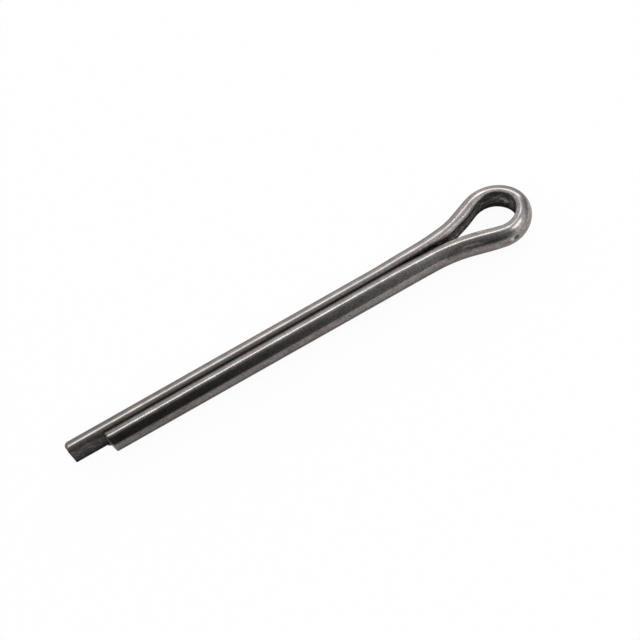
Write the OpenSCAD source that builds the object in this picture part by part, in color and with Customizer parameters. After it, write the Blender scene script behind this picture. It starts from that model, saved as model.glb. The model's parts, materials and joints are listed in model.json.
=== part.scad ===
// Cotter pin: a length of half-round wire folded back on itself, flat side to flat side.
// The two prongs make one round shank, and an open eye is left at the fold.
// The pin lies on its side, as it rests on a table: the eye is level, its head is towards +X,
// and the middle of the whole pin's underside is the origin.

/* [Shank] */
// Diameter of the round shank that the two prongs make together
shank_d = 5.65; // [5:0.05:6.5]
// Gap that the fold leaves between the flat sides of the prongs
prong_gap = 0.25; // [0.1:0.05:0.5]
// Radius of the wire's rolled edges, where the round side meets the flat side
edge_r = 0.45; // [0.3:0.05:0.6]
// Length of the short prong, from the start of the eye's neck to its tip
short_prong = 62.8; // [40:0.2:80]
// How far the long prong reaches past the short one
long_prong_extra = 7.2; // [2:0.1:12]

/* [Eye] */
// Clear width of the eye at its widest, between the flat sides
eye_w = 6.3; // [5.8:0.05:7.2]
// How far the eye sits over towards the long prong's side
eye_offset = 0.39; // [0:0.01:0.5]
// Radius of the gentle bend where each prong leaves the shank
neck_r = 22.7; // [18:0.1:26]
// Angle at which the short prong's side leaves the shank
short_neck_angle = 19.5; // [18:0.1:23]
// Angle at which the long prong's side leaves the shank
long_neck_angle = 23.2; // [20:0.1:26]
// Slight turn of the eye's side, between its neck and its shoulder, over the short prong
short_side_turn = 6; // [2:0.5:10]
// The same slight turn over the long prong
long_side_turn = 5; // [2:0.5:10]
// Radius of the flat side round the shoulder over the short prong
short_shoulder_r = 4.1; // [3.5:0.1:5.5]
// Radius of the flat side round the shoulder over the long prong
long_shoulder_r = 4.5; // [3.5:0.1:5.5]
// Turn from the eye's widest point to the head, on the short prong's side
short_shoulder_turn = 41.5; // [30:0.5:55]
// Turn from the eye's widest point to the head, on the long prong's side
long_shoulder_turn = 45; // [30:0.5:55]

/* [Sheared tips] */
// Lean of the short prong's end, positive where the top is cut back
short_tip_lean = -5; // [-8:0.5:8]
// Lean of the long prong's end, where the top is cut back
long_tip_lean = 4.5; // [0:0.5:8]
// Radius that the shear has rolled over the top edge of each end
tip_roll_r = 0.5; // [0.2:0.05:0.8]

/* [Hidden] */
$fn = 96;

// Small lap with which a rounding circle crosses the line or arc that it rounds off
lap = 0.01;

// A worked-out radius is kept to whole microns, as an exported number has six digits
function to_micron(x) = round(x * 1000) / 1000;

// Section of the wire, measured from its flat side
shank_r = shank_d / 2;
wire_t = shank_r - prong_gap / 2;
edge_x = edge_r - lap;
edge_from_axis = shank_r - edge_r + lap;
edge_y = sqrt(pow(edge_from_axis, 2) - pow(prong_gap / 2 + edge_x, 2));
half_h = edge_y + edge_r;

// How many times further out than the wire the corners of a trimming outline lie
outside = 6;
// Size of the outline that trims a tip, well over the wire's own size
trim = outside * shank_r;

// The head's radius closes the eye between its two shoulders
head_r = to_micron((eye_w - short_shoulder_r * (1 - cos(short_shoulder_turn))
    - long_shoulder_r * (1 - cos(long_shoulder_turn)))
    / (cos(short_shoulder_turn) + cos(long_shoulder_turn)));
head_turn = 180 - short_shoulder_turn - long_shoulder_turn;

// Radius of the eye's side, so that its shoulder just reaches the half width
function side_r(half_w, neck_angle, turn, shoulder_r) = to_micron(
    (half_w - prong_gap / 2 - neck_r * (1 - cos(neck_angle))
        - shoulder_r * (1 - cos(neck_angle - turn)))
    / (cos(neck_angle - turn) - cos(neck_angle)));
short_side_r = side_r(eye_w / 2 - eye_offset, short_neck_angle, short_side_turn, short_shoulder_r);
long_side_r = side_r(eye_w / 2 + eye_offset, long_neck_angle, long_side_turn, long_shoulder_r);

// How far the eye's widest point lies past the start of its neck
function side_reach(r, neck_angle, turn, shoulder_r) =
    (neck_r + r) * sin(neck_angle) + (shoulder_r - r) * sin(neck_angle - turn);
// How far the top of the eye lies past its widest point
function crown_reach(shoulder_r, turn) = shoulder_r * sin(turn) + head_r * (1 - sin(turn));
eye_top = side_reach(short_side_r, short_neck_angle, short_side_turn, short_shoulder_r)
    + crown_reach(short_shoulder_r, short_shoulder_turn);
long_neck_start = eye_top - crown_reach(long_shoulder_r, long_shoulder_turn)
    - side_reach(long_side_r, long_neck_angle, long_side_turn, long_shoulder_r);
long_prong = long_neck_start + short_prong + long_prong_extra;

// Both ends of the whole pin, from the start of the short prong's neck
head_end = eye_top + wire_t;
tip_end = -short_prong - long_prong_extra - half_h * tan(long_tip_lean);
middle = (head_end + tip_end) / 2;

// Section of the wire: flat side on the Y axis, round side towards +X. The lines from the shank's
// axis through each rolled edge's middle divide the shank's circle from the edges' circles.
module half_round() {
    axis = [-prong_gap / 2, 0];
    edge = [edge_x, edge_y];
    beyond = axis + outside * (edge - axis);
    intersection() {
        translate(axis) circle(r = shank_r);
        union() {
            for (side = [-1, 1]) translate([edge.x, side * edge.y]) circle(r = edge_r);
            polygon([
                [-edge_r, -edge.y], [edge.x, -edge.y], [beyond.x, -beyond.y],
                [outside * shank_r, 0],
                [beyond.x, beyond.y], [edge.x, edge.y], [-edge_r, edge.y]
            ]);
        }
        translate([0, -shank_d]) square([shank_d, 2 * shank_d]);
    }
}

// A straight stretch along +X, with its flat side towards +Y
module straight(length) {
    rotate([-90, 0, 0]) rotate([0, 90, 0]) linear_extrude(height = length) half_round();
}

// The wire is made as a bender makes it, one bend after another. Each bend starts at the origin,
// where the wire heads along $heading, and carries the next one at its end.

// Moves in two parts, whole hundredths and the rest, as an exported number has six digits
module move(by) {
    main = [for (x = by) round(x * 100) / 100];
    translate(main) translate(by - main) children();
}

// Position on a bend's circle, from the bend's own centre
function on_bend(r, heading) = r * [sin(heading), -cos(heading)];

// A bend round the eye, to the left, with the flat side on the inside
module eye_bend(r, angle) {
    move(-on_bend(r, $heading)) {
        rotate_extrude(start = $heading - 90, angle = angle) translate([r, 0]) half_round();
        move(on_bend(r, $heading + angle)) let ($heading = $heading + angle) children();
    }
}

// A bend at the neck, to the right, with the flat side on the outside
module neck_bend(r, angle) {
    move(on_bend(r, $heading)) {
        rotate_extrude(start = $heading + 90 - angle, angle = angle)
            translate([r, 0]) mirror([1, 0]) half_round();
        move(-on_bend(r, $heading - angle)) let ($heading = $heading - angle) children();
    }
}

// Side view of all that lies behind a leaning end, with the top edge rolled over
module behind_end(length, lean) {
    roll_y = half_h - tip_roll_r + lap;
    roll_x = -(tip_roll_r - lap + roll_y * sin(lean)) / cos(lean);
    translate([roll_x, roll_y]) circle(r = tip_roll_r);
    polygon([
        [trim * tan(lean), -trim],
        [roll_x, roll_y] + (tip_roll_r - lap) * [cos(lean), sin(lean)],
        [roll_x, roll_y], [roll_x, trim], [-length - trim, trim], [-length - trim, -trim]
    ]);
}

// A prong, from the neck to its sheared tip
module prong(length, lean) {
    intersection() {
        straight(length + trim);
        translate([length, trim, 0]) rotate([90, 0, 0])
            linear_extrude(height = 2 * trim) behind_end(length, lean);
    }
}

module folded_wire($heading = 0) {
    mirror([1, 0, 0]) prong(short_prong, short_tip_lean);
    neck_bend(neck_r, short_neck_angle)
        eye_bend(short_side_r, short_side_turn)
            eye_bend(short_shoulder_r, short_neck_angle - short_side_turn + short_shoulder_turn)
                eye_bend(head_r, head_turn)
                    eye_bend(long_shoulder_r, long_shoulder_turn + long_neck_angle - long_side_turn)
                        eye_bend(long_side_r, long_side_turn)
                            neck_bend(neck_r, long_neck_angle)
                                rotate([0, 0, 180]) prong(long_prong, long_tip_lean);
}

module cotter_pin() {
    color([0.34, 0.33, 0.32])
        translate([-middle, -eye_offset, half_h])
            translate([0, -prong_gap / 2, 0]) folded_wire();
}

cotter_pin();
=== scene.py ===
import json
import math

import bpy
import numpy as np
from mathutils import Matrix, Vector


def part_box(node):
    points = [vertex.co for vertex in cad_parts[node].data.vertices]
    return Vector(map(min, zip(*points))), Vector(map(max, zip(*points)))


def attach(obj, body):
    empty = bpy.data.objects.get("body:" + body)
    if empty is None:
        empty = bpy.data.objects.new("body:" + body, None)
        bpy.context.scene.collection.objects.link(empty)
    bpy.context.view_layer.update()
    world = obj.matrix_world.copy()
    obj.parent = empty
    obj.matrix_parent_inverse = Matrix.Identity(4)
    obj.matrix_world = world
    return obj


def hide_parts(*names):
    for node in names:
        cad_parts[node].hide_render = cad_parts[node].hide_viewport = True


bl_info = {
    "name": "Cotter Pin",
    "version": (1, 0, 0),
    "blender": (4, 5, 0),
    "location": "View3D > Sidebar > Cotter Pin",
    "description": "Folds a half-round steel wire into a cotter pin and sets it on a pale floor",
    "category": "Object",
}

MM = 0.001
NODE = "cotter_pin"

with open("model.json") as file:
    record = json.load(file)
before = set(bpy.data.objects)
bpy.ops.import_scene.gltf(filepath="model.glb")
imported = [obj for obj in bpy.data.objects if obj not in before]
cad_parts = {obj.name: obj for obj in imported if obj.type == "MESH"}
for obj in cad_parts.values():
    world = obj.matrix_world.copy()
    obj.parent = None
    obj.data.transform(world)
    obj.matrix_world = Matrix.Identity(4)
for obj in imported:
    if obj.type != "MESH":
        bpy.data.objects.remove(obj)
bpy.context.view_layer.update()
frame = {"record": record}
SHANK = next(mount for mount in frame["record"]["mounts"] if mount["name"] == "shank")


# --- Sizes, finish and stage that a user may change -----------------------------------------------

def length(name, description, millimetres):
    """A length property, given in millimetres and kept in metres."""
    return bpy.props.FloatProperty(
        name=name, description=description, default=millimetres * MM, unit="LENGTH", precision=5)


def angle(name, description, degrees):
    """An angle property, given in degrees."""
    return bpy.props.FloatProperty(
        name=name, description=description, default=math.radians(degrees), subtype="ANGLE")


def colour(name, description, value):
    """A linear colour."""
    return bpy.props.FloatVectorProperty(
        name=name, description=description, default=value, subtype="COLOR", size=3, min=0, max=1)


class PinSizes(bpy.types.PropertyGroup):
    """Sizes of the folded wire."""

    shank_r: length("Shank radius", "Radius of the round shank", SHANK["dims"]["r_mm"])
    gap: length("Prong gap", "Gap between the flat sides of the prongs", 0.19)
    edge_r: length("Edge radius", "Radius of the wire's rolled edges", 0.458)
    short_prong: length("Short prong", "From the start of the neck to the short tip", 62.135)
    extra: length("Long prong's reach", "How far the long prong reaches past the short one", 7.01)
    eye_w: length("Eye width", "Clear width of the eye between its flat sides", 6.598)
    eye_offset: length("Eye offset", "How far the eye sits over towards the long prong", 0.498)
    short_neck_r: length("Short neck", "Radius of the gentle bend at the short side's neck", 22.015)
    long_neck_r: length("Long neck", "Radius of the gentle bend at the long side's neck", 33.225)
    short_neck: angle("Short side's angle", "Angle at which the short side leaves the shank", 19.274)
    long_neck: angle("Long side's angle", "Angle at which the long side leaves the shank", 24.961)
    short_side: angle("Short side's turn", "Slight turn of the short side of the eye", 7.712)
    long_side: angle("Long side's turn", "Slight turn of the long side of the eye", 6.401)
    short_shoulder_r: length("Short shoulder", "Radius round the short shoulder", 3.764)
    long_shoulder_r: length("Long shoulder", "Radius round the long shoulder", 4.273)
    short_shoulder: angle("Short shoulder's turn", "From the widest point to the head", 50.246)
    long_shoulder: angle("Long shoulder's turn", "From the widest point to the head", 58.126)
    twist: angle("Twist", "Turn of the wire at the eye's far side, its top over the eye", 12.0)
    worn_r: length("Worn edge radius", "Radius of the top edge where the wire is twisted", 0.88)
    fade: length("Thinning's fade", "How far into the shank the thinning of the eye fades out", 3.0)


class PinFinish(bpy.types.PropertyGroup):
    """Colours of the steel."""

    steel: colour("Steel", "Worn steel of the round side", (0.278, 0.271, 0.271))
    steel_warm: colour("Warm steel", "Steel where it has a warmer tint", (0.294, 0.271, 0.262))
    edge: colour("Edge", "Brown skin left on the rolled edges", (0.058, 0.044, 0.033))
    flat: colour("Flat side", "Dull flat side", (0.052, 0.049, 0.049))
    flat_light: colour("Flat side, worn", "Lighter patches of the flat side", (0.17, 0.162, 0.165))
    rubbed: colour("Rubbed", "Brown cast of the rubbed edge inside the eye", (0.20, 0.165, 0.145))
    rust: colour("Rust", "Small specks of rust", (0.20, 0.085, 0.06))


class StageLook(bpy.types.PropertyGroup):
    """Floor, lamps and camera."""

    floor: colour("Floor", "Pale floor", (0.86, 0.86, 0.86))
    target: bpy.props.FloatVectorProperty(
        name="Target", description="Point that the camera looks at", size=3, subtype="TRANSLATION",
        unit="LENGTH", precision=6, default=(4.103 * MM, -0.721 * MM, 2.753 * MM))
    distance: length("Camera distance", "From the camera to its target", 160.925)
    elevation: angle("Camera elevation", "Height of the camera over the floor, as an angle", 61.833)
    roll: angle("Camera roll", "Turn of the camera about its own axis", -29.473)
    lens: bpy.props.FloatProperty(
        name="Lens", description="Focal length on a 36 mm sensor", default=53.690,
        subtype="DISTANCE_CAMERA")


# --- Route and section of the wire ----------------------------------------------------------------

# How much thinner the wire is drawn at the short shoulder, the head and the long shoulder
THIN_OUT = (0.944, 0.932, 0.874)
THIN_UP = (0.936, 0.979, 0.908)


class Route:
    """The line that the wire's flat side follows, as stretches of constant curvature.

    At a distance d into a stretch that starts at p with heading h and has curvature k, the line has
    turned by k d, and its chord from p is d sinc(k d / 2) long and points along h + k d / 2.
    """

    # Which stretch ends at each place on the route
    PLACES = {"neck": 0, "widest": 3, "head": 5, "far_widest": 7, "back": 10}

    def __init__(self, sizes):
        half_gap = sizes.gap / 2
        head_r = (
            sizes.eye_w
            - sizes.short_shoulder_r * (1 - math.cos(sizes.short_shoulder))
            - sizes.long_shoulder_r * (1 - math.cos(sizes.long_shoulder))
        ) / (math.cos(sizes.short_shoulder) + math.cos(sizes.long_shoulder))

        def side_r(half_w, neck_r, neck, turn, shoulder_r):
            """Radius of the eye's side, so that its shoulder just reaches the half width."""
            rise = half_w - half_gap - neck_r * (1 - math.cos(neck))
            rise -= shoulder_r * (1 - math.cos(neck - turn))
            return rise / (math.cos(neck - turn) - math.cos(neck))

        short = side_r(
            sizes.eye_w / 2 - sizes.eye_offset, sizes.short_neck_r, sizes.short_neck,
            sizes.short_side, sizes.short_shoulder_r)
        long = side_r(
            sizes.eye_w / 2 + sizes.eye_offset, sizes.long_neck_r, sizes.long_neck,
            sizes.long_side, sizes.long_shoulder_r)
        bends = [
            (sizes.short_neck_r, -sizes.short_neck),
            (short, sizes.short_side),
            (sizes.short_shoulder_r, sizes.short_neck - sizes.short_side),
            (sizes.short_shoulder_r, sizes.short_shoulder),
            (head_r, math.pi / 2 - sizes.short_shoulder),
            (head_r, math.pi / 2 - sizes.long_shoulder),
            (sizes.long_shoulder_r, sizes.long_shoulder),
            (sizes.long_shoulder_r, sizes.long_neck - sizes.long_side),
            (long, sizes.long_side),
            (sizes.long_neck_r, -sizes.long_neck),
        ]
        lengths = [sizes.short_prong] + [r * abs(turn) for r, turn in bends]
        curvatures = [0.0] + [math.copysign(1 / r, turn) for r, turn in bends]
        self.lay(lengths, curvatures, half_gap)
        last_bend_x = self.at(self.ends[-1])[0][0, 0]
        self.lay(lengths + [last_bend_x + sizes.extra], curvatures + [0.0], half_gap)
        for place, stretch in self.PLACES.items():
            setattr(self, place, self.ends[stretch])
        self.tip, self.length = 0.0, self.ends[-1]

    def lay(self, lengths, curvatures, half_gap):
        """Lays the stretches end to end from the short tip, which is at x = 0."""
        self.ends = np.cumsum(lengths)
        self.starts = self.ends - lengths
        self.curvatures = np.array(curvatures)
        turns = self.curvatures * lengths
        self.headings = np.cumsum(turns) - turns
        middles = self.headings + turns / 2
        chords = np.array(lengths) * np.sinc(turns / 2 / math.pi)
        steps = chords[:, None] * np.stack([np.cos(middles), np.sin(middles)], 1)
        self.points = np.cumsum(steps, 0) - steps + [0.0, -half_gap]

    def at(self, along):
        """Points and headings of the line at the given distances from the short tip."""
        along = np.atleast_1d(along)
        index = np.clip(np.searchsorted(self.ends, along), 0, len(self.ends) - 1)
        ahead = along - self.starts[index]
        turned = self.curvatures[index] * ahead
        middle = self.headings[index] + turned / 2
        chord = ahead * np.sinc(turned / 2 / math.pi)
        points = self.points[index] + chord[:, None] * np.stack([np.cos(middle), np.sin(middle)], 1)
        return points, self.headings[index] + turned


def smooth(low, high, value):
    """0 below low, 1 above high, and 3 t^2 - 2 t^3 between them."""
    t = np.clip((value - low) / (high - low), 0, 1)
    return t * t * (3 - 2 * t)


def between(marks, values, along):
    """Values that change from mark to mark by the smooth step."""
    result = np.full_like(along, values[0])
    for mark, next_mark, value, next_value in zip(marks, marks[1:], values, values[1:]):
        result += (next_value - value) * smooth(mark, next_mark, along)
    return result


# How many steps the section has on its round side, round each edge and on its flat side
ROUND_STEPS, EDGE_STEPS, FLAT_STEPS = 32, 12, 22


def half_round(shank_r, gap, top_r, low_r):
    """Outline of the wire's section and its normals, as parts out from the flat side and parts up.

    The round side is the shank's circle, whose centre lies half a gap behind the flat side. Each edge
    is a circle that touches it from inside and touches the flat side.
    """
    def edge(radius):
        """Where an edge meets the round side, as an angle, and how far up its centre lies."""
        reach = shank_r - radius
        meet = math.acos((gap / 2 + radius) / reach)
        return meet, reach * math.sin(meet)

    def arc(centre, radius, start, end, steps):
        """Points of an arc, short of its end, and their normals."""
        turn = np.linspace(start, end, steps, endpoint=False)
        normals = np.stack([np.cos(turn), np.sin(turn)], 1)
        return centre + radius * normals, normals

    (top, top_up), (low, low_up) = edge(top_r), edge(low_r)
    heights = np.linspace(top_up, -low_up, FLAT_STEPS, endpoint=False)
    parts = [
        arc([-gap / 2, 0], shank_r, -low, top, ROUND_STEPS),
        arc([top_r, top_up], top_r, top, math.pi, EDGE_STEPS),
        (np.stack([0 * heights, heights], 1), np.tile([-1.0, 0.0], (FLAT_STEPS, 1))),
        arc([low_r, -low_up], low_r, math.pi, 2 * math.pi - low, EDGE_STEPS),
    ]
    return (np.concatenate(column) for column in zip(*parts))


def swell(bumps, route, along):
    """Sum of smooth bumps: height (1 + cos(pi (along - middle) / reach)) / 2, within each reach."""
    total = np.zeros_like(along)
    for place, past, reach, height in bumps:
        middle = getattr(route, place) + past * MM
        phase = math.pi * np.clip((along - middle) / (reach * MM), -1, 1)
        total += height * (0.5 + 0.5 * np.cos(phase))
    return total


def twist(shapes, half_gap, angles, shifts):
    """Turns each ring about the shank's axis, its top over the eye, and shifts it outwards.

    out' = (out + g) cos a - up sin a - g + shift and up' = (out + g) sin a + up cos a, for half a
    gap g.
    """
    out, up = shapes[..., 0] + half_gap, shapes[..., 1]
    return np.stack([out * np.cos(angles) - up * np.sin(angles) - half_gap + shifts,
                     out * np.sin(angles) + up * np.cos(angles)], -1)


# How far behind its end a prong stops leaning with it
LEAN_FADE = 2.5 * MM
# Where the shear leaves its burr, low on the flat side, and how wide and high the burr is
BURR_OUT, BURR_UP = 0.0, -2.15 * MM
BURR_WIDE, BURR_HIGH = 0.70 * MM, 0.70 * MM
# How far a surface faces up where the edge of an end is hardly rolled, and where it is fully rolled,
# and how much facing outwards adds to that
HARDLY_ROLLED, FULLY_ROLLED, ROLLED_OUTWARD = -0.1, 0.8, 0.3


class End:
    """A sheared end of the wire: its lean, its rounded edge and the burr that the shear drags out."""

    def __init__(self, lean_up, lean_out, roll, edge, burr):
        self.lean_up, self.lean_out = lean_up, lean_out
        self.roll, self.edge, self.burr = roll * MM, edge * MM, burr * MM

    def inset(self, behind, normals):
        """How far each point of the section draws in, at a distance behind the end.

        The edge is rounded as a quarter circle of radius r, so at x behind the end it draws in by
        r - sqrt(r^2 - (r - x)^2). Its radius grows from the flat side and the underside to the top.
        """
        facing_up = normals[:, 1] + ROLLED_OUTWARD * normals[:, 0]
        rolled = smooth(HARDLY_ROLLED, FULLY_ROLLED, facing_up)
        radius = self.edge + (self.roll - self.edge) * rolled
        left = np.clip(radius - behind[:, None], 0, None)
        return radius - np.sqrt(radius ** 2 - left ** 2)

    def lean(self, section, behind):
        """How far each point leans back behind the end's middle, fading out away from the end.

        The burr reaches out by e^-(x^2 + y^2), for the distances x and y from its middle as shares of
        its width and height.
        """
        burr = np.exp(-((section - [BURR_OUT, BURR_UP]) / [BURR_WIDE, BURR_HIGH]) ** 2).prod(1)
        lean = self.lean_up * section[:, 1] + self.lean_out * section[:, 0] - self.burr * burr
        return lean * (1 - smooth(0, LEAN_FADE, behind)[:, None])


SHORT_END = End(lean_up=0.0, lean_out=0.12, roll=0.70, edge=0.10, burr=1.2)
LONG_END = End(lean_up=0.17, lean_out=-0.20, roll=0.80, edge=0.15, burr=0.0)

# How far the wire's flat side and its round side stray outwards from a true bend. Each bump is given
# by a place on the route, how far past it the middle lies, the bump's reach and its height, in
# millimetres.
FLAT_BUMPS = (
    ("neck", 0.8, 8.5, 0.23),
    ("neck", 9.0, 4.0, -0.10),
    ("widest", 1.6, 3.5, 0.13),
    ("back", -10.9, 10.0, -0.53),
    ("back", -10.4, 3.0, 0.09),
    ("back", -6.9, 3.0, -0.07),
    ("back", -0.9, 5.0, 0.15),
)
ROUND_BUMPS = (
    ("neck", 2.5, 6.5, 0.09),
    ("neck", 9.0, 3.5, -0.06),
    ("widest", 2.1, 4.0, 0.07),
    ("far_widest", -1.5, 4.0, 0.03),
    ("back", -9.9, 4.0, -0.13),
    ("back", -1.4, 8.0, 0.25),
)
# Where the wire is twisted, with 1 for the full twist
TWIST_BUMP = (("back", -11.9, 10.0, 1.0),)
# Share of the wire's height gained for each millimetre by which its flat side strays inwards
RISE = 0.21

# Steps from ring to ring near the ends, along the shank and round the eye
END_STEP, SHANK_STEP, EYE_STEP = 0.12 * MM, 0.3 * MM, 0.1 * MM
# How many rings the rounded edge of an end has
ROLL_RINGS = 12


def stations(route, roll, fade):
    """Distances along the wire at which it gets a ring, closest round its ends and in its eye."""
    rounding = roll * (1 - np.cos(np.linspace(0, math.pi / 2, ROLL_RINGS)))
    near_end = np.concatenate([rounding, np.arange(roll, LEAN_FADE, END_STEP)[1:]])
    eye_start, eye_end = route.neck - fade, route.back + fade
    stretches = [
        near_end,
        np.arange(LEAN_FADE, eye_start, SHANK_STEP),
        np.arange(eye_start, eye_end, EYE_STEP),
        np.arange(eye_end, route.length - LEAN_FADE, SHANK_STEP),
        route.length - near_end[::-1],
    ]
    return np.concatenate(stretches)


def shell(name, rings, caps, vectors):
    """A closed mesh of a grid of rings, with a fan from each end ring to its cap's middle.

    Its points carry the named vectors, each given for the grid and for the two caps.
    """
    count, around = rings.shape[:2]
    ring, side = np.meshgrid(np.arange(count - 1), np.arange(around), indexing="ij")
    following = (side + 1) % around
    quads = np.stack([ring * around + side, (ring + 1) * around + side,
                      (ring + 1) * around + following, ring * around + following], -1).reshape(-1, 4)
    side = np.arange(around)
    following = (side + 1) % around
    last = (count - 1) * around
    first_fan = np.stack([np.full(around, count * around), side, following], 1)
    last_fan = np.stack([np.full(around, count * around + 1), last + following, last + side], 1)
    mesh = bpy.data.meshes.new(name)
    vertices = np.concatenate([rings.reshape(-1, 3), caps])
    mesh.from_pydata(vertices.tolist(), [], quads.tolist() + first_fan.tolist() + last_fan.tolist())
    for label, (grid, ends) in vectors.items():
        attribute = mesh.attributes.new(label, "FLOAT_VECTOR", "POINT")
        attribute.data.foreach_set("vector", np.concatenate([grid.reshape(-1, 3), ends]).ravel())
    mesh.polygons.foreach_set("use_smooth", np.ones(len(mesh.polygons), bool))
    mesh.update()
    return mesh


def thinning(sizes, route, along, flat_shift):
    """Shares of the wire's thickness and height at each station, drawn thinner round the eye."""
    marks = [route.neck - sizes.fade, route.widest, route.head, route.far_widest,
             route.back + sizes.fade]
    strays_out = (swell(ROUND_BUMPS, route, along) - flat_shift) * MM
    return np.stack([
        between(marks, (1.0, *THIN_OUT, 1.0), along) + strays_out / (sizes.shank_r - sizes.gap / 2),
        between(marks, (1.0, *THIN_UP, 1.0), along) * (1 - RISE * flat_shift),
    ], 1)


def wire_mesh(sizes, route):
    """The folded wire: its section carried along its route, with what its material needs to know.

    The section is the half round, blended by the twist with one whose top edge is more worn, then
    thinned and drawn in at the ends. A point of it lies at p + out n + lean h, for the route's
    point p with the outward normal n and the heading h.
    """
    along = stations(route, max(SHORT_END.roll, LONG_END.roll), sizes.fade)
    behind = route.length - along
    twisted = swell(TWIST_BUMP, route, along)[:, None, None]
    flat_shift = swell(FLAT_BUMPS, route, along)
    section, normals = half_round(sizes.shank_r, sizes.gap, sizes.edge_r, sizes.edge_r)
    worn, worn_normals = half_round(sizes.shank_r, sizes.gap, sizes.worn_r, sizes.edge_r)
    inset = SHORT_END.inset(along, normals) + LONG_END.inset(behind, normals)
    shapes = section + (worn - section) * twisted
    shapes = shapes * thinning(sizes, route, along, flat_shift)[:, None, :]
    shapes -= normals * inset[:, :, None]

    turned = twist(shapes, sizes.gap / 2, sizes.twist * twisted[..., 0], flat_shift[:, None] * MM)
    lean = SHORT_END.lean(section, along) - LONG_END.lean(section, behind)
    points, headings = route.at(along)
    ahead = np.stack([np.cos(headings), np.sin(headings)], 1)[:, None, :]
    outward = np.stack([np.sin(headings), -np.cos(headings)], 1)[:, None, :]
    plan = points[:, None, :] + outward * turned[:, :, :1] + ahead * lean[:, :, None]
    rings = np.concatenate([plan, turned[:, :, 1:]], 2)
    # The head ends where the solid's does, the shank lies on its mount's line and the wire at z = 0,
    # into which its twisted part may not dip
    head_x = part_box(NODE)[1].x
    rings += [head_x - rings[..., 0].max(), SHANK["pos_m"][1], section[:, 1].max()]
    rings[..., 2] = np.maximum(rings[..., 2], 0)

    wire = np.concatenate([along[:, None, None] + 0 * shapes[:, :, :1], shapes], 2) / MM
    facing = normals + (worn_normals - normals) * twisted
    turn = np.arccos(np.clip(facing[..., 0], -1, 1)) / math.pi
    skin = np.stack([turn, facing[..., 1], 0 * turn], 2)
    vectors = {"wire": (wire, wire[[0, -1]].mean(1)), "skin": (skin, [[0, 0, 1], [0, 0, 1]])}
    return shell("cotter_pin_wire", rings, rings[[0, -1]].mean(1), vectors)


# --- Shader expressions ---------------------------------------------------------------------------

class Socket:
    """An output socket on which Python's operators add Math nodes."""

    def __init__(self, tree, output):
        self.tree, self.output = tree, output

    def math(self, operation, *values):
        """The result of a Math node on the given values."""
        return self.tree.add("ShaderNodeMath", {"operation": operation}, dict(enumerate(values)))

    def __add__(self, other):
        return self.math("ADD", self, other)

    def __radd__(self, other):
        return self.math("ADD", other, self)

    def __sub__(self, other):
        return self.math("SUBTRACT", self, other)

    def __rsub__(self, other):
        return self.math("SUBTRACT", other, self)

    def __mul__(self, other):
        return self.math("MULTIPLY", self, other)

    def __rmul__(self, other):
        return self.math("MULTIPLY", other, self)

    def __truediv__(self, other):
        return self.math("DIVIDE", self, other)

    def __rtruediv__(self, other):
        return self.math("DIVIDE", other, self)

    def step(self, low, high):
        """0 below low and 1 above high, with a smooth step between them, either way round."""
        ends = {"From Min": low, "From Max": high, "Value": self}
        return self.tree.add("ShaderNodeMapRange", {"interpolation_type": "SMOOTHSTEP"}, ends)

    def zone(self, start, full, fading=None, end=None):
        """1 from full to fading, and 0 before start and after end. Without an end it stays 1."""
        inside = self.step(start, full)
        return inside if end is None else inside * self.step(end, fading)


class Tree:
    """A node tree that is filled by calls, each of which gives a Socket."""

    def __init__(self, owner):
        owner.use_nodes = True
        self.nodes, self.links = owner.node_tree.nodes, owner.node_tree.links
        self.nodes.clear()

    def add(self, kind, settings=None, sockets=None, output=0):
        """Adds a node, sets it up, fills or links its sockets, and gives one of its outputs."""
        node = self.nodes.new(kind)
        for name, value in (settings or {}).items():
            setattr(node, name, value)
        for name, value in (sockets or {}).items():
            if isinstance(value, Socket):
                self.links.new(value.output, node.inputs[name])
            else:
                node.inputs[name].default_value = value
        return Socket(self, node.outputs[output]) if node.outputs else node

    def attribute(self, name):
        """A vector that the mesh carries."""
        return self.add("ShaderNodeAttribute", {"attribute_name": name}, None, "Vector")

    def parts(self, vector):
        """The three parts of a vector."""
        first = self.add("ShaderNodeSeparateXYZ", None, {0: vector})
        return [Socket(self, output) for output in first.output.node.outputs]

    def vector(self, operation, first, second=(0, 0, 0), output="Vector"):
        """Vector maths on two vectors."""
        settings = {"operation": operation}
        return self.add("ShaderNodeVectorMath", settings, {0: first, 1: second}, output)

    def scaled(self, vector, factor):
        """A vector or colour times a number."""
        sockets = {0: vector, "Scale": factor}
        return self.add("ShaderNodeVectorMath", {"operation": "SCALE"}, sockets)

    def mix(self, share, first, second):
        """Goes from the first colour to the second by the given share."""
        # A Mix node takes its two colours at sockets 6 and 7 and gives the mixed one at 2
        sockets = {0: share, 6: rgba(first), 7: rgba(second)}
        return self.add("ShaderNodeMix", {"data_type": "RGBA"}, sockets, 2)

    def seen_by_camera(self):
        """1 where the camera itself sees the surface, and 0 in mirrors and shadows."""
        return self.add("ShaderNodeLightPath", output="Is Camera Ray")


def rgba(value):
    """A colour as a node takes it, with full alpha."""
    return value if isinstance(value, Socket) else (*value, 1)


# --- Finish of the steel, with its painted shade and highlights -----------------------------------

# Cloudy patterns in the steel: each one's squeeze along, out and up, its lumps a millimetre and its
# detail
PATTERNS = {
    "grain": ((1, 1, 1), 3.2, 2),
    "blotch": ((1, 1, 1), 0.55, 3),
    "lines": ((0.07, 1, 1), 4.5, 2),
    "lumps": ((0.8, 1, 1), 1.4, 2),
    "warmth": ((1, 1, 1), 1.3, 1),
    "wear": ((0.8, 1, 1), 1.1, 3),
    "streaks": ((0.45, 1, 3.0), 1.5, 1),
}
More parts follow.
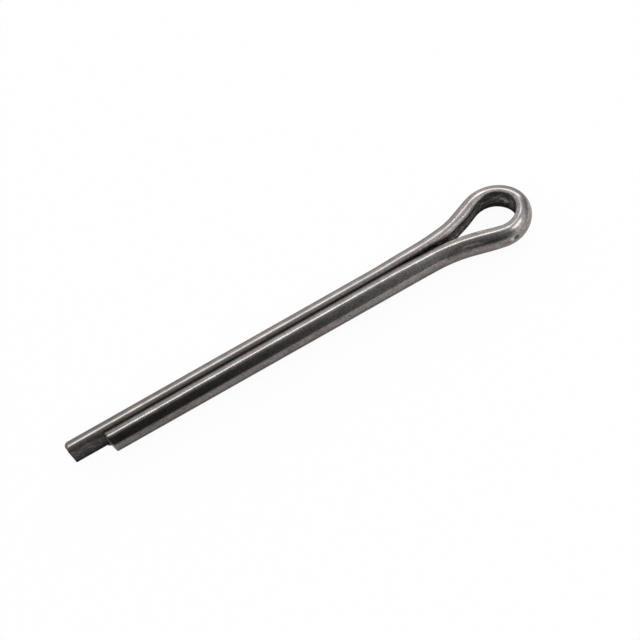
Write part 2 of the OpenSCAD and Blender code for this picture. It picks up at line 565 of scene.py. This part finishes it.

# Zones with another tone, most of them painted shade or painted highlights: how much lighter the
# steel is there, or darker below 0, and where that is.
# A zone is given by the parts of the wire that it keeps to and by where it starts, is full, starts to
# fade and has ended: round the section (turn), in height (up), in how far the surface faces up, from
# the side of an end to its middle (cap) and along the wire, in millimetres past a place on the route.
TONES = {
    # Painted shade on the underside, where the wire faces down
    "underside": (-0.40, dict(facing_up=(0, -0.38))),
    # Painted shade along the shank's low edge, a dark rim at its lower outline
    "painted shade on the low edge": (-0.50, dict(on=["shank"], facing_up=(0.12, -0.12))),
    # Painted shade on the near prong's inner edge, by the seam between the prongs
    "painted shade on the near prong's inner edge": (-0.70, dict(on=["near", "shank"], turn=(0.46, 0.58))),
    # Painted shade on both sides of the seam between the prongs
    "painted shade on the near side of the seam": (-0.34, dict(on=["near", "shank", "round"], turn=(0.66, 0.74))),
    "painted shade on the far side of the seam": (
        -0.34, dict(on=["far", "shank", "round"], turn=(0.44, 0.49, 0.56, 0.64))),
    # Painted shade on the far prong's round top towards its tip, which darkens the sky that it
    # mirrors
    "painted shade on the far prong's top": (
        -0.30, dict(turn=(0.24, 0.32, 0.375, 0.395), along=("back", 30, 60))),
    # Painted shade on the middle of the round side by the neck, where it mirrors the floor
    "painted shade at the near neck's foot": (-0.08, dict(turn=(0.15, 0.09), along=("neck", -4, 2, 9, 12))),
    # Painted shade on the burr, low at the short tip
    "burr": (-0.55, dict(turn=(0.48, 0.60), up=(0, -1), along=("tip", 1.4, 0.3))),
    "sheared ends": (-0.50, dict(cap=(0, 0.04))),
    # A painted highlight along the rolled edge over the far wall in the eye, with painted shade under
    # it
    "painted highlight over the far wall": (
        0.45, dict(on=["eye"], turn=(0.50, 0.55, 0.57, 0.61), along=("back", -16, -13, -9, -6.5))),
    "painted shade under that highlight": (
        -0.12, dict(on=["eye", "round"], turn=(0.58, 0.66), along=("back", -16, -13, -9, -6.5))),
    # Painted shade in the crease between the rolled edge and the flat side
    "painted shade in the crease": (-0.15, dict(on=["mostly shank", "round"], turn=(0.60, 0.90))),
}

# Marks, each an ellipsoid given by a place on the route, how far past it, out and up its middle lies
# and its reach in these three ways, in millimetres, and by how strongly the lumps and the grain fray
# its edge
MARKS = {
    "rub": ("neck", (7.5, 2.0, 1.70), (2.6, 1.2, 0.42), 0.8, 0.8),
    "head wall": ("head", (2.2, 0, 0.25), (2.2, 1.5, 1.35), 0.8, 0.8),
    "far wall": ("back", (-9.5, 0, -0.2), (3.2, 1.5, 1.8), 0.8, 0.8),
    "scuff": ("back", (-8.4, 0.1, 2.15), (2.4, 0.6, 0.6), 0.8, 0.8),
    # The pit is painted: shade for its hollow, and a highlight as a glint on its rim
    "pit": ("widest", (0.40, 2.45, 0.64), (0.42, 1.0, 0.55), 0, 0.6),
    "painted glint by the pit": ("widest", (-0.08, 2.45, 0.66), (0.32, 1.0, 0.50), 0, 0.6),
    "rust": ("widest", (-0.55, 2.5, 0.50), (0.85, 1.0, 0.30), 0, 3),
    "flecks": ("length", (-13.9, 0.25, 2.69), (1.8, 0.4, 0.35), 0, 4),
}
# Share of a mark's reach within which it is full
MARK_CORE = 0.45
# Where the eye starts and ends
EYE_START, EYE_END = ("neck", 0.5, 4.5), ("back", -0.5, -4.5)
# Turn at which the flat side starts and is full, and how far the lumps move that in the eye
FLAT_TURN, FLAT_SHIFT = (0.86, 0.97), 0.16
# Where the edges have a brown skin, where the far prong has lost some of it, and which share
EDGE, FAR_EDGE, FAR_EDGE_LOSS = dict(on=["shank"], turn=(0.42, 0.52)), ("back", 30, 0), 0.35
# Where the eye's edges are worn, with a brown cast of their own, and where painted shade darkens them
WORN = dict(on=["eye", "round"], turn=(0.50, 0.64))
# Turn over which the wire's top is polished, and the share of the grain that it loses there
POLISHED, POLISHED_LOSS = (0.30, 0.34, 0.42, 0.46), 0.88


class Steel:
    """What the steel's patterns share, and the patterns in the order in which they build on it.

    Each point knows its distance along the wire, its distance out from the flat side and its height
    over the wire's middle, in millimetres. It also knows its turn, from 0 where the surface faces
    outwards to 1 on the flat side, how far it faces up, and how near it is to the middle of an end.
    """

    def __init__(self, tree, route):
        self.tree, self.route = tree, route
        self.wire = tree.attribute("wire")
        self.along, _, self.up = tree.parts(self.wire)
        self.turn, self.facing_up, self.cap = tree.parts(tree.attribute("skin"))
        self.grain, self.blotch, self.lines, self.lumps, self.warmth, self.wear, self.streaks = (
            self.cloud(*pattern) for pattern in PATTERNS.values())
        self.eye = self.stretch(*EYE_START) * self.stretch(*EYE_END)
        self.far = self.along.step(route.neck / MM, route.back / MM)
        self.flat = (self.turn + self.eye * self.lumps * FLAT_SHIFT).step(*FLAT_TURN)
        self.sides = {
            "eye": self.eye, "shank": 1 - self.eye, "mostly shank": 1 - 0.5 * self.eye,
            "near": 1 - self.far, "far": self.far, "round": 1 - self.flat,
        }
        self.edge = self.zone(**EDGE) * (1 - FAR_EDGE_LOSS * self.stretch(*FAR_EDGE))
        self.worn = self.zone(**WORN)
        self.marks = {name: self.mark(*mark) for name, mark in MARKS.items()}
        self.grain = self.grain * (1 - POLISHED_LOSS * self.turn.zone(*POLISHED))

    def cloud(self, squeeze, scale, detail):
        """A cloudy pattern around 0."""
        sockets = {"Vector": self.tree.vector("MULTIPLY", self.wire, squeeze),
                   "Scale": scale, "Detail": detail}
        return self.tree.add("ShaderNodeTexNoise", None, sockets) - 0.5

    def stretch(self, place, *edges):
        """A zone along the wire, in millimetres past a place on the route."""
        start = getattr(self.route, place) / MM
        return self.along.zone(*(start + edge for edge in edges))

    def zone(self, on=(), along=None, **limits):
        """1 where every one of the given parts, limits and stretches holds."""
        masks = [self.sides[name] for name in on]
        masks += [getattr(self, name).zone(*edges) for name, edges in limits.items()]
        masks += [self.stretch(*along)] if along else []
        return math.prod(masks)

    def mark(self, place, middle, reach, lumpy, grainy):
        """1 in the middle of an ellipsoid and 0 at its reach, with a frayed edge."""
        middle = (getattr(self.route, place) / MM + middle[0], *middle[1:])
        away = self.tree.vector("SUBTRACT", self.wire, middle)
        away = self.tree.vector("DIVIDE", away, reach)
        distance = self.tree.vector("LENGTH", away, output="Value")
        return (distance + self.lumps * lumpy + self.grain * grainy).step(1, MARK_CORE)


# Painted shade on the band of the near prong that mirrors the dark front: where it lies, how dark it
# is and where it fades out towards the eye
DARK_BAND = dict(on=["near"], turn=(0.12, 0.18, 0.30, 0.345), facing_up=(0, 0.3))
DARK_BAND_SHADE, DARK_BAND_FADES = 0.60, ("tip", 14, 58)
# Painted light: how much lighter that band is at the neck, and where that sets in
NECK_LIGHT, NECK_LIGHT_SETS_IN = 0.35, ("neck", -8, 0)


def dark_band_shade(steel):
    """Painted shade on the near prong's side, darkest at the tip and fading out towards the eye, with
    painted light at the neck.
    """
    left = DARK_BAND_SHADE - DARK_BAND_SHADE * steel.stretch(*DARK_BAND_FADES)
    left = left - NECK_LIGHT * steel.stretch(*NECK_LIGHT_SETS_IN)
    return 1 - steel.zone(**DARK_BAND) * left


# Painted shade on the eye's near side: where its dark border lies, the turn at which it is full and
# ends, how far and where it climbs, and its tone
BORDER = dict(turn=(0.08, 0.13), along=("neck", 1.5, 3.5, 11, 13.5))
BORDER_FULL, BORDER_END = 0.155, 0.19
BORDER_CLIMB, BORDER_CLIMBS = 0.05, ("neck", 6.5, 8.5)
BORDER_TONE = -0.40
# Painted light over it: where the lighter line lies, and its tone
LINE, LINE_TONE = dict(turn=(0.27, 0.22), along=("neck", 3.5, 5.5, 7.5, 9)), 0.30


def near_side_shade_and_light(steel):
    """Painted shade and light on the eye's near side: a dark border, which climbs, and a lighter line
    over it.
    """
    climb = BORDER_CLIMB * steel.stretch(*BORDER_CLIMBS)
    below = steel.turn.step(climb + BORDER_END, climb + BORDER_FULL)
    border = BORDER_TONE * below * steel.zone(**BORDER)
    line = LINE_TONE * (1 - below) * steel.zone(**LINE)
    return (1 + border) * (1 + line)


# Painted shade on the flat side: the tone of its foot, how much lighter it gets over a rise in
# height, and the share of that which it loses again over a fall, in the shank and in the eye
FLAT_IN_SHANK = dict(foot=-0.75, gain=1.85, rise=(-2.2, 1.0), loss=0.75, fall=(0.5, 2.0))
FLAT_IN_EYE = dict(foot=-0.35, gain=1.30, rise=(-2.2, 0.2), loss=0.20, fall=(0.9, 2.2))
# How strongly the lumps show on the flat side in the eye
FLAT_LUMPS = 3.2


def flat_side(steel):
    """Tone of the flat side: painted shade that leaves it lightest halfway up, and its own lumps in
    the eye.
    """
    def by_height(foot, gain, rise, loss, fall):
        """foot + gain over the rise, less a share of the gain over the fall."""
        return steel.up.step(*rise) * (1 - loss * steel.up.step(*fall)) * gain + foot

    shank, eye = by_height(**FLAT_IN_SHANK), by_height(**FLAT_IN_EYE)
    lumpy = 1 + steel.eye * steel.flat * steel.lumps * FLAT_LUMPS
    return (1 + steel.flat * (shank + (eye - shank) * steel.eye)) * lumpy


# Painted shade on the eye's worn inner edges, which face the hole: how much darker they are, and how
# much less so on the far side
WORN_EDGE_SHADE, WORN_EDGE_FAR_SHADE = 0.30, 0.08


def worn_edges_shade(steel):
    """Painted shade on the worn edges of the eye."""
    return 1 - steel.worn * (WORN_EDGE_SHADE - WORN_EDGE_FAR_SHADE * steel.far)


# How much lighter the rub on the near side and the walls' marks are, also in their light streaks
RUB, RUB_STREAKS = 0.9, 0.9
WALL, WALL_STREAKS = 0.5, 2.4
# How strong the mark on each wall is
HEAD_WALL, FAR_WALL = 1.4, 0.7
# Where in their pattern the light and the dark streaks lie, and how dark the dark ones are
LIGHT_STREAKS, DARK_STREAKS, DARK_STREAK = (-0.02, 0.12), (-0.04, -0.16), 0.55


def rubbed(steel):
    """Tone of the rubbed places: lighter, with light and dark streaks along the wire."""
    rub = steel.marks["rub"]
    wall = steel.marks["head wall"] * HEAD_WALL + steel.marks["far wall"] * FAR_WALL
    light = steel.streaks.step(*LIGHT_STREAKS)
    dark = steel.streaks.step(*DARK_STREAKS)
    lighter = 1 + rub * RUB + wall * WALL + (rub * RUB_STREAKS + wall * WALL_STREAKS) * light
    return lighter * (1 - (rub + wall) * DARK_STREAK * dark)


# Marks that change the tone by themselves: the scuff and the flecks, the pit's painted shade and the
# painted glint by it
MARK_TONES = {"scuff": 1.2, "flecks": 0.25, "pit": -0.72, "painted glint by the pit": 0.8}
# How strongly each cloudy pattern shows
GRAIN, BLOTCH, LINES = 1.5, 0.9, 0.5


def tone(steel):
    """How light the steel's colour is, as the product of the shares of all that changes it: its own
    tones and marks, and painted shade and highlights.
    """
    shares = [1 + share * steel.zone(**where) for share, where in TONES.values()]
    shares += [1 + share * steel.marks[name] for name, share in MARK_TONES.items()]
    shares += [dark_band_shade(steel), near_side_shade_and_light(steel), flat_side(steel), worn_edges_shade(steel), rubbed(steel)]
    clouds = 1 + steel.grain * GRAIN + steel.blotch * BLOTCH + steel.lines * LINES
    return clouds * math.prod(shares)


# Where in its pattern the steel turns warm, and where in theirs the flat side's worn patches lie
WARM, WORN_PATCHES = (-0.15, 0.15), (-0.10, 0.22)
# How far the brown skin covers the edges, and how that varies with the blotches
SKIN, SKIN_BLOTCH = 0.85, 0.6
# How far the far side's worn edges, the rust and the flecks take on their own colours
RUBBED, RUST, FLECKS = 0.55, 0.5, 0.12


def steel_colour(steel, finish):
    """Colours of the round side, its brown edges, the flat side, the worn edges and the rust."""
    mix = steel.tree.mix
    skin = mix(steel.warmth.step(*WARM), finish.steel, finish.steel_warm)
    skin = mix(steel.edge * (SKIN + SKIN_BLOTCH * steel.blotch), skin, finish.edge)
    flat = mix(steel.wear.step(*WORN_PATCHES), finish.flat, finish.flat_light)
    skin = mix(steel.flat, skin, flat)
    skin = mix(steel.worn * steel.far * RUBBED, skin, finish.rubbed)
    rust = steel.marks["rust"] * RUST + steel.marks["flecks"] * FLECKS
    return mix(rust, skin, finish.rust)


# Roughness of the round side, and what the edges, the eye's inner half, the flat side and the grain
# add to it
ROUGHNESS = 0.17
EDGE_ROUGHNESS, FAR_EDGE_ROUGHNESS = 0.12, 0.16
INNER_ROUGHNESS, FLAT_ROUGHNESS, GRAIN_ROUGHNESS = 0.14, 0.30, 0.10
# Where the eye's inner half lies
INNER_HALF = dict(on=["eye"], turn=(0.5, 0.6))
# How much less metallic the brown skin is
SKIN_DULLNESS = 0.75


def steel_wire(finish, route):
    """Dark drawn steel: a worn sheen on its round side, brown edges and a dull flat side. Its colour
    also holds painted shade and painted highlights.

    Its patterns lie in the wire's own millimetres, so that they follow every bend.
    """
    material = bpy.data.materials.new("steel_wire")
    tree = Tree(material)
    steel = Steel(tree, route)
    roughness = ROUGHNESS + steel.edge * (EDGE_ROUGHNESS + FAR_EDGE_ROUGHNESS * steel.far)
    roughness = roughness + steel.zone(**INNER_HALF) * INNER_ROUGHNESS
    roughness = roughness + steel.flat * FLAT_ROUGHNESS + steel.grain * GRAIN_ROUGHNESS
    shader = tree.add("ShaderNodeBsdfPrincipled", None, {
        "Base Color": tree.scaled(steel_colour(steel, finish), tone(steel)),
        "Metallic": 1 - SKIN_DULLNESS * steel.edge,
        "Roughness": roughness,
    })
    tree.add("ShaderNodeOutputMaterial", None, {"Surface": shader})
    return material


# --- Stage ----------------------------------------------------------------------------------------

# Half the floor's width
FLOOR_REACH = 1.5
# Share of the floor, as the camera sees it, that is plain white with no shadow on it
FLOOR_WHITE = 0.95
# The floor's colours as the steel mirrors them, with painted light in them: under the tips, under the
# head, and where it is dark. The first goes over into the second along the pin, so the floor is
# painted lighter by the head.
FLOOR_TIPS, FLOOR_HEAD, FLOOR_DARK = (0.55, 0.53, 0.52), (0.80, 0.77, 0.76), (0.05, 0.05, 0.05)
FLOOR_CHANGE = (-70 * MM, 50 * MM)
# Painted shade on the floor that the steel mirrors: the distance in front of the pin at which it has
# lost half its light, and where along the pin that loss sets in, on a line that slants by so much for
# each step back
PAINTED_FRONT_FALL, FRONT_STARTS, FRONT_SLANT = 26 * MM, (30 * MM, -30 * MM), 0.6
# Painted shade past the head and a painted shadow in a strip behind the pin: where, and how much less
# light
PAST_HEAD, PAST_HEAD_PAINTED_SHADE = (55 * MM, 85 * MM), 0.6
PAINTED_SHADOW_BEHIND, PAINTED_SHADOW_LOSS = (0, 3 * MM, 10 * MM, 28 * MM), 0.4


def floor_material(look):
    """White to the camera, with a faint shadow, and to the steel shades of grey with painted light
    and shade.

    To the steel, the floor's painted light in front of the shank is 1 / (1 + (y / fall)^2).
    """
    material = bpy.data.materials.new("floor")
    tree = Tree(material)
    camera = tree.seen_by_camera()
    x, y, _ = tree.parts(tree.add("ShaderNodeTexCoord", None, None, "Object"))
    # Painted light and shade that only the steel sees: a pool of light fading out in front of the
    # shank, shade past the head and a painted shadow behind the pin
    front = y.math("MINIMUM", y, 0) / PAINTED_FRONT_FALL
    beside_shank = (x + y * FRONT_SLANT).step(*FRONT_STARTS)
    light = 1 - beside_shank * (1 - 1 / (1 + front * front))
    light = light * (1 - PAST_HEAD_PAINTED_SHADE * x.step(*PAST_HEAD))
    light = light * (1 - PAINTED_SHADOW_LOSS * y.zone(*PAINTED_SHADOW_BEHIND))
    tint = tree.mix(x.step(*FLOOR_CHANGE), FLOOR_TIPS, FLOOR_HEAD)
    seen = tree.mix(camera, tree.mix(light, FLOOR_DARK, tint), look.floor)
    matte = tree.add("ShaderNodeBsdfDiffuse", None, {"Color": seen})
    white = tree.add("ShaderNodeEmission", None, {"Strength": 1.0})
    surface = tree.add("ShaderNodeMixShader", None, {0: camera * FLOOR_WHITE, 1: matte, 2: white})
    tree.add("ShaderNodeOutputMaterial", None, {"Surface": surface})
    return material


# Strength of the studio's soft light, and the parts of the studio that give less of it: azimuth,
# elevation, the angles within which it is dark and past which it isn't, and the share that is lost
SKY_STRENGTH = 1.25
DARK_PARTS = (
    (-42, 14, 53, 73, 0.72),
    (-42, 14, 28, 53, 0.65),
    (90, 4, 8, 32, 0.68),
)

# The camera's sensor in millimetres, as Blender has it, and the nearest distance that it sees
SENSOR_WIDTH = 36.0
NEAREST = 0.01

# Strip lamps, all at one distance. Each spans the sky from one azimuth and elevation to another.
LAMP_DISTANCE = 0.8
LAMPS = [
    dict(name="key", start=(-78, 36), end=(52, 65), width=0.072,
         radiance=4.9, tint=(1.0, 0.97, 0.95)),
    dict(name="corner", start=(44, 66), end=(92, 44), width=0.11,
         radiance=1.7, tint=(1.0, 0.96, 0.94)),
    dict(name="right", start=(80, 50), end=(124, 22), width=0.06,
         radiance=1.9, tint=(1.0, 0.97, 0.95)),
    dict(name="side", start=(33, 41), end=(62, 35), width=0.26,
         radiance=2.05, tint=(1.0, 0.94, 0.91)),
    dict(name="back right", start=(116, 14), end=(166, 23), width=0.20,
         radiance=2.5, tint=(1.0, 0.94, 0.90)),
    dict(name="back", start=(163, 20), end=(222, 21), width=0.15,
         radiance=2.35, tint=(1.0, 0.94, 0.90)),
]


def direction(azimuth, elevation):
    """The way towards an azimuth, from the front (-Y) round by the right (+X), and an elevation."""
    turn, rise = math.radians(azimuth), math.radians(elevation)
    level = math.cos(rise)
    return Vector((math.sin(turn) * level, -math.cos(turn) * level, math.sin(rise)))


# --- Operators ------------------------------------------------------------------------------------

# Angle between two faces past which the edge between them is sharp
SHARP_ANGLE = math.radians(38)


class PIN_OT_wire(bpy.types.Operator):
    """Fold the wire into the pin, in place of its plain solid"""

    bl_idname = "pin.wire"
    bl_label = "Fold the wire"

    def execute(self, context):
        sizes = context.scene.pin_sizes
        route = Route(sizes)
        mesh = wire_mesh(sizes, route)
        mesh.set_sharp_from_angle(angle=SHARP_ANGLE)
        mesh.materials.append(steel_wire(context.scene.pin_finish, route))
        pin = bpy.data.objects.new("cotter_pin_wire", mesh)
        context.scene.collection.objects.link(pin)
        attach(pin, "root")
        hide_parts(NODE)
        return {"FINISHED"}


class PIN_OT_stage(bpy.types.Operator):
    """Set the floor, the lamps and the camera"""

    bl_idname = "pin.stage"
    bl_label = "Set the stage"

    def execute(self, context):
        look = context.scene.pin_stage
        self.floor(context, look)
        self.sky(context)
        for lamp in LAMPS:
            self.lamp(context, **lamp)
        self.camera(context, look)
        context.scene.view_settings.view_transform = "Standard"
        return {"FINISHED"}

    def floor(self, context, look):
        """A wide square of pale floor."""
        reach = FLOOR_REACH
        mesh = bpy.data.meshes.new("floor")
        corners = [(-reach, -reach, 0), (reach, -reach, 0), (reach, reach, 0), (-reach, reach, 0)]
        mesh.from_pydata(corners, [], [(0, 1, 2, 3)])
        floor = bpy.data.objects.new("floor", mesh)
        context.scene.collection.objects.link(floor)
        mesh.materials.append(floor_material(look))

    def sky(self, context):
        """White to the camera. To all else it is a soft light with darker parts."""
        world = context.scene.world or bpy.data.worlds.new("studio")
        context.scene.world = world
        tree = Tree(world)
        way = tree.add("ShaderNodeTexCoord", None, None, "Generated")
        strength = SKY_STRENGTH
        for azimuth, elevation, inner, outer, loss in DARK_PARTS:
            facing = tree.vector("DOT_PRODUCT", way, tuple(direction(azimuth, elevation)), "Value")
            fades = [math.cos(math.radians(degrees)) for degrees in (outer, inner)]
            strength = strength * (1 - loss * facing.step(*fades))
        camera = tree.seen_by_camera()
        soft = tree.add("ShaderNodeBackground", None, {"Strength": strength})
        white = tree.add("ShaderNodeBackground", None, {"Color": (1, 1, 1, 1), "Strength": 1.0})
        surface = tree.add("ShaderNodeMixShader", None, {0: camera, 1: soft, 2: white})
        tree.add("ShaderNodeOutputWorld", None, {"Surface": surface})

    def lamp(self, context, name, start, end, width, radiance, tint):
        """A strip lamp that faces the pin and spans the sky from one direction to another."""
        first, last = direction(*start), direction(*end)
        lengthwise = (last - first).normalized()
        away = (first + last).normalized()
        light = bpy.data.lights.new(name, "AREA")
        light.shape = "RECTANGLE"
        light.size = 2 * LAMP_DISTANCE * math.tan(first.angle(last) / 2)
        light.size_y = width
        light.energy = radiance * math.pi * light.size * width
        light.color = tint
        lamp = bpy.data.objects.new(name, light)
        facing = Matrix((lengthwise, away.cross(lengthwise), away)).transposed().to_4x4()
        lamp.matrix_world = Matrix.Translation(away * LAMP_DISTANCE) @ facing
        lamp.visible_camera = False
        context.scene.collection.objects.link(lamp)

    def camera(self, context, look):
        """A camera that looks at its target from the front, rolled about its own axis."""
        back = direction(0, math.degrees(look.elevation))
        right = Vector((1, 0, 0))
        up = back.cross(right)
        facing = Matrix((right, up, back)).transposed().to_4x4()
        place = Matrix.Translation(Vector(look.target) + back * look.distance)
        data = bpy.data.cameras.new("camera")
        data.sensor_width, data.lens = SENSOR_WIDTH, look.lens
        data.clip_start = NEAREST
        camera = bpy.data.objects.new("camera", data)
        camera.matrix_world = place @ facing @ Matrix.Rotation(look.roll, 4, "Z")
        context.scene.collection.objects.link(camera)
        context.scene.camera = camera


class PIN_PT_panel(bpy.types.Panel):
    """The pin's steps in the sidebar"""

    bl_label = "Cotter Pin"
    bl_idname = "PIN_PT_panel"
    bl_space_type = "VIEW_3D"
    bl_region_type = "UI"
    bl_category = "Cotter Pin"

    def draw(self, context):
        """A button for each step."""
        for operator in OPERATORS:
            self.layout.operator(operator.bl_idname)


GROUPS = {"pin_sizes": PinSizes, "pin_finish": PinFinish, "pin_stage": StageLook}
OPERATORS = (PIN_OT_wire, PIN_OT_stage)


def register():
    """Adds the groups of settings, the operators and the panel."""
    for group in (*GROUPS.values(), *OPERATORS, PIN_PT_panel):
        bpy.utils.register_class(group)
    for name, group in GROUPS.items():
        setattr(bpy.types.Scene, name, bpy.props.PointerProperty(type=group))


def unregister():
    """Takes them all away again."""
    for name in GROUPS:
        delattr(bpy.types.Scene, name)
    for group in (PIN_PT_panel, *OPERATORS, *GROUPS.values()):
        bpy.utils.unregister_class(group)


def main():
    """Makes the piece and its stage."""
    register()
    bpy.ops.pin.wire()
    bpy.ops.pin.stage()


if __name__ == "__main__":
    main()
